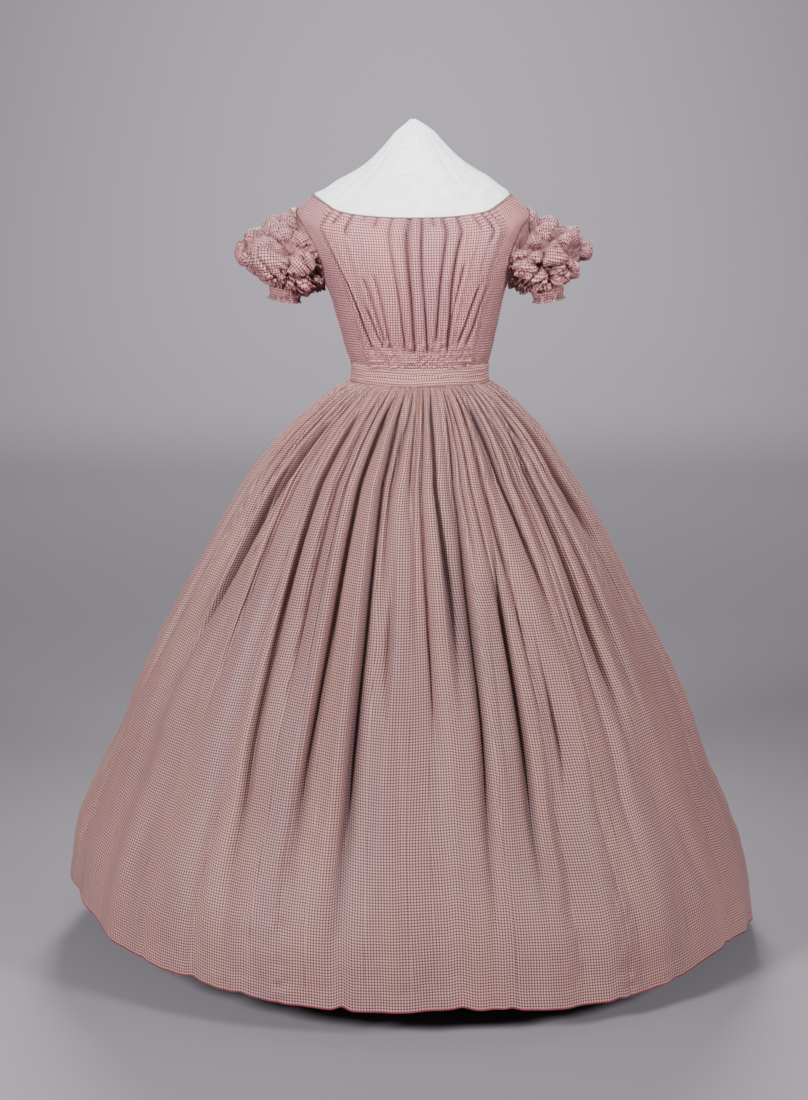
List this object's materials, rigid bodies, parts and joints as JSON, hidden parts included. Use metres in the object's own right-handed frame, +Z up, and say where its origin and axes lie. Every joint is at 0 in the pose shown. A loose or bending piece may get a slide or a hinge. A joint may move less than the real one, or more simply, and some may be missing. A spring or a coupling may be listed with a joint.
{
  "type": "victorian afternoon dress on a dress form",
  "caption": "Victorian afternoon dress of fine checked cloth on a limbless dress form: gathered wide-neck bodice, short puff sleeves, folded waistband and full bell skirt.",
  "frame": {"origin": "on the floor, at the middle of the underside of the form's round base", "axes": "+Z up along the pole, -Y the dress's front, +X the viewer's right from the front"},
  "size_m": [1.139, 1.1003, 1.337],
  "materials": {
    "checked_cloth": "thin crisp cloth with a small two-colour check and a faint sheen",
    "checked_band": "the same cloth laid in soft horizontal folds",
    "piping": "thin corded edge, matte",
    "crimson_braid": "narrow woven braid, matte",
    "white_cover": "white cotton cover, matte",
    "dark_metal": "satin dark paint"
  },
  "bodies": {
    "root": {"skirt_left_front": "checked_cloth", "skirt_front": "checked_cloth", "skirt_right_front": "checked_cloth", "skirt_right_back": "checked_cloth", "skirt_back": "checked_cloth", "skirt_left_back": "checked_cloth", "skirt_left_side": "checked_cloth", "hem_braid": "crimson_braid", "bodice_front": "checked_cloth", "bodice_side_left": "checked_cloth", "bodice_side_right": "checked_cloth", "bodice_back_left": "checked_cloth", "bodice_back_right": "checked_cloth", "neck_binding": "piping", "waistband": "checked_band", "sleeve_left": "checked_cloth", "sleeve_right": "checked_cloth", "sleeve_band_left": "checked_cloth", "sleeve_band_right": "checked_cloth", "form_torso": "white_cover", "form_pole": "dark_metal", "form_base": "dark_metal"}
  },
  "joints": []
}
